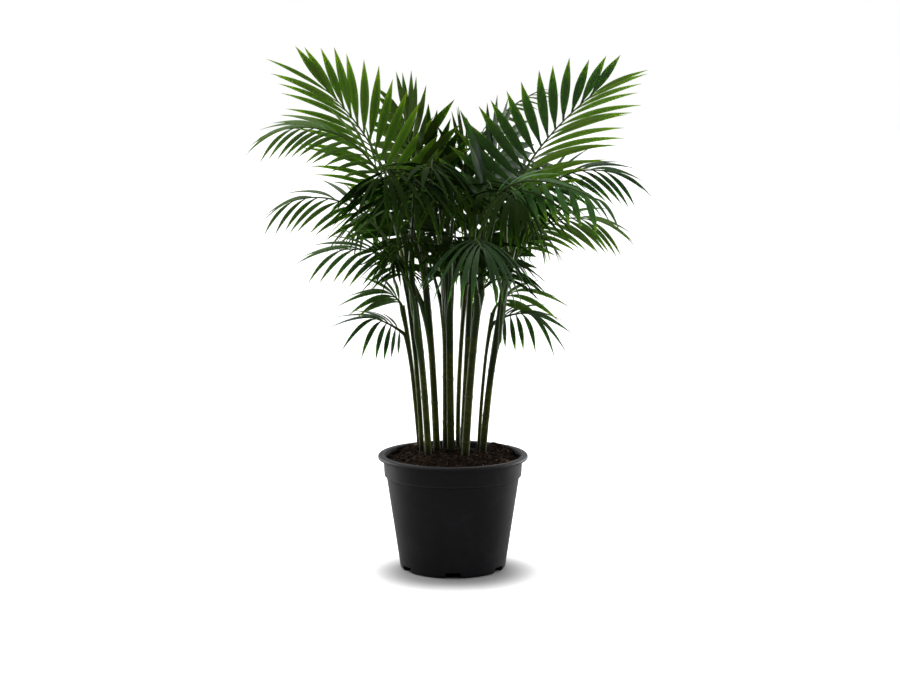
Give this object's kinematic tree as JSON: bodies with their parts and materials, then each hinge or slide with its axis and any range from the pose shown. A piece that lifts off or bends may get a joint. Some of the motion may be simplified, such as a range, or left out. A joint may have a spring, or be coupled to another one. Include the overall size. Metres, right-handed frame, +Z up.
{
  "type": "potted palm",
  "caption": "Potted palm: a clump of slender ringed canes with arching feather fronds, in a round black nursery pot filled with potting soil.",
  "frame": {"origin": "on the floor, under the middle of the whole plant, which is the middle of the pot's base to within a few millimetres", "axes": "+Z up; +X to the right and +Y to the back, seen from the side that the large upright fronds face"},
  "size_m": [0.7427, 0.6122, 0.9685],
  "materials": {
    "pot": "satin black moulded plastic with a fine grain",
    "soil": "dark, crumbly peat and bark potting mix",
    "cane": "smooth olive green cane with pale rings",
    "frond": "satin green leaf with fine lengthwise veins"
  },
  "bodies": {
    "root": {"pot": "pot", "soil": "soil", "cane_a": "cane", "cane_b": "cane", "cane_c": "cane", "cane_d": "cane", "cane_e": "cane", "cane_f": "cane", "cane_g": "cane", "cane_h": "cane", "cane_i": "cane", "cane_j": "cane", "cane_k": "cane", "frond_b1": "frond", "frond_c1": "frond", "frond_d1": "frond", "frond_c2": "frond", "frond_a1": "frond", "frond_a2": "frond", "frond_k1": "frond", "frond_k2": "frond", "frond_h1": "frond", "frond_k3": "frond", "frond_k4": "frond", "frond_j2": "frond", "frond_j1": "frond", "frond_h2": "frond", "frond_c3": "frond", "frond_d2": "frond", "frond_f1": "frond", "frond_d3": "frond", "frond_h3": "frond", "frond_f2": "frond", "frond_c4": "frond", "frond_i4": "frond", "frond_b3": "frond", "frond_f4": "frond", "frond_i6": "frond", "frond_b4": "frond", "frond_k5": "frond", "frond_h4": "frond", "frond_e1": "frond", "frond_d4": "frond", "frond_i1": "frond", "frond_e5": "frond", "frond_g4": "frond", "frond_i5": "frond", "frond_f3": "frond", "frond_f5": "frond", "frond_i7": "frond", "frond_e2": "frond", "frond_g1": "frond", "frond_e3": "frond", "frond_i2": "frond", "frond_g2": "frond", "frond_e4": "frond", "frond_g5": "frond", "frond_i3": "frond", "frond_g3": "frond", "frond_b2": "frond"}
  },
  "joints": []
}
